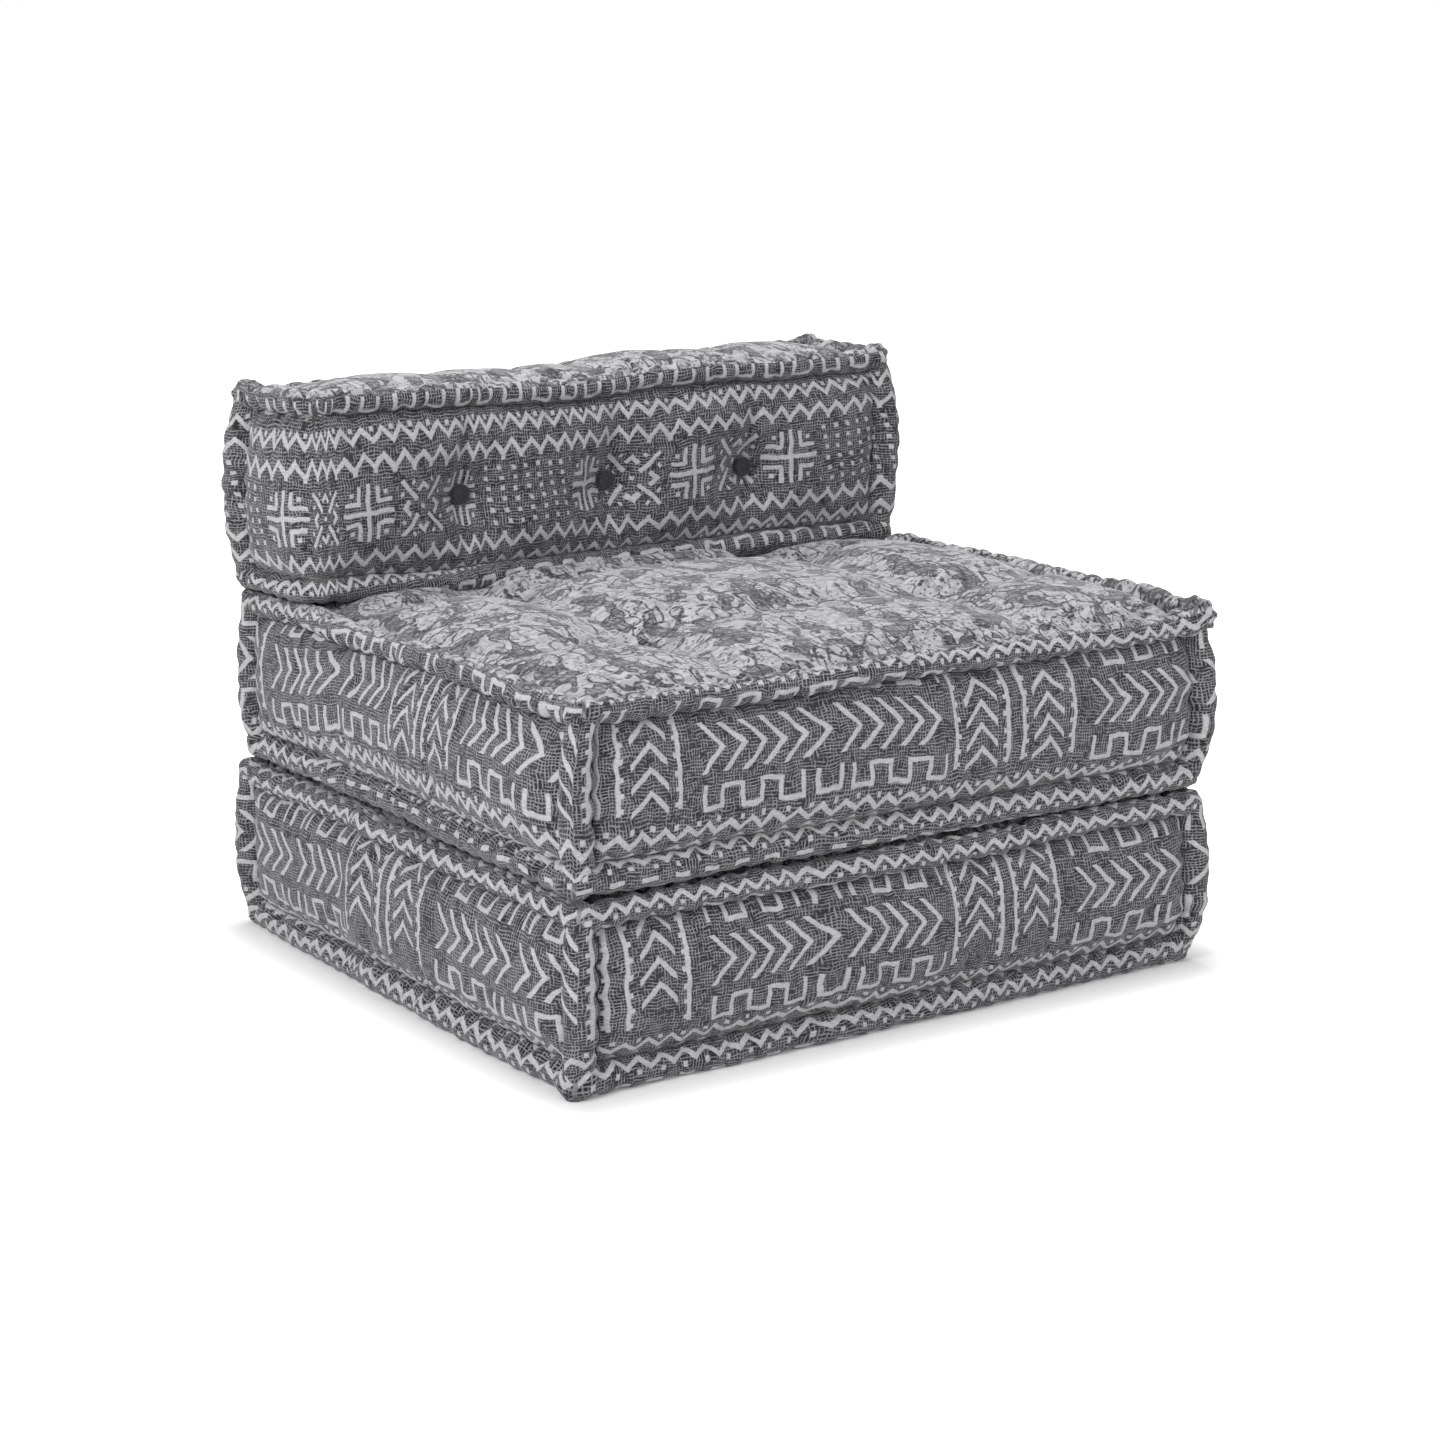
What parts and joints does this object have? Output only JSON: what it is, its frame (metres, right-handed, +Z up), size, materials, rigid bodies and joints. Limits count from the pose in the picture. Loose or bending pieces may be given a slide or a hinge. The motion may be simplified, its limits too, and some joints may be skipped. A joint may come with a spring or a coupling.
{
  "type": "modular sofa",
  "caption": "Low modular sofa seat of stacked mattress cushions: base, seat and back, with stitched edge rolls, crowned tops, and tufts held by felt pads and twine.",
  "frame": {"origin": "centre of the footprint, on the floor that the base cushion lies on", "axes": "+X along the width, to the right as seen from the front; +Y from the front to the back cushion; +Z up"},
  "size_m": [0.8048, 0.7396, 0.6496],
  "materials": {
    "printed_cloth": "matte",
    "jacquard_cloth": "matte",
    "felt": "matte",
    "wadding": "matte",
    "twine": "matte"
  },
  "bodies": {
    "base": {"base_filling": "wadding", "base_top_panel": "jacquard_cloth", "base_bottom_panel": "printed_cloth", "base_front_border": "printed_cloth", "base_right_border": "printed_cloth", "base_rear_border": "printed_cloth", "base_left_border": "printed_cloth", "base_top_roll": "printed_cloth", "base_bottom_roll": "printed_cloth", "base_corner_rolls": "printed_cloth", "base_upper_pads": "felt", "base_lower_pads": "felt", "base_twines": "twine"},
    "seat": {"seat_filling": "wadding", "seat_top_panel": "jacquard_cloth", "seat_bottom_panel": "printed_cloth", "seat_front_border": "printed_cloth", "seat_right_border": "printed_cloth", "seat_rear_border": "printed_cloth", "seat_left_border": "printed_cloth", "seat_top_roll": "printed_cloth", "seat_bottom_roll": "printed_cloth", "seat_corner_rolls": "printed_cloth", "seat_upper_pads": "felt", "seat_lower_pads": "felt", "seat_twines": "twine"},
    "back": {"back_filling": "wadding", "back_top_panel": "jacquard_cloth", "back_bottom_panel": "printed_cloth", "back_front_border": "printed_cloth", "back_right_border": "printed_cloth", "back_rear_border": "printed_cloth", "back_top_roll": "printed_cloth", "back_bottom_roll": "printed_cloth", "back_corner_rolls": "printed_cloth", "back_front_pads": "felt", "back_rear_pads": "felt", "back_twines": "twine"}
  },
  "joints": [
    {"name": "seat_lift", "type": "slide", "parent": "base", "child": "seat", "axis": [0, 0, 1], "range_m": [0, 0.25]},
    {"name": "back_lift", "type": "slide", "parent": "seat", "child": "back", "axis": [0, 0, 1], "range_m": [0, 0.3]}
  ]
}
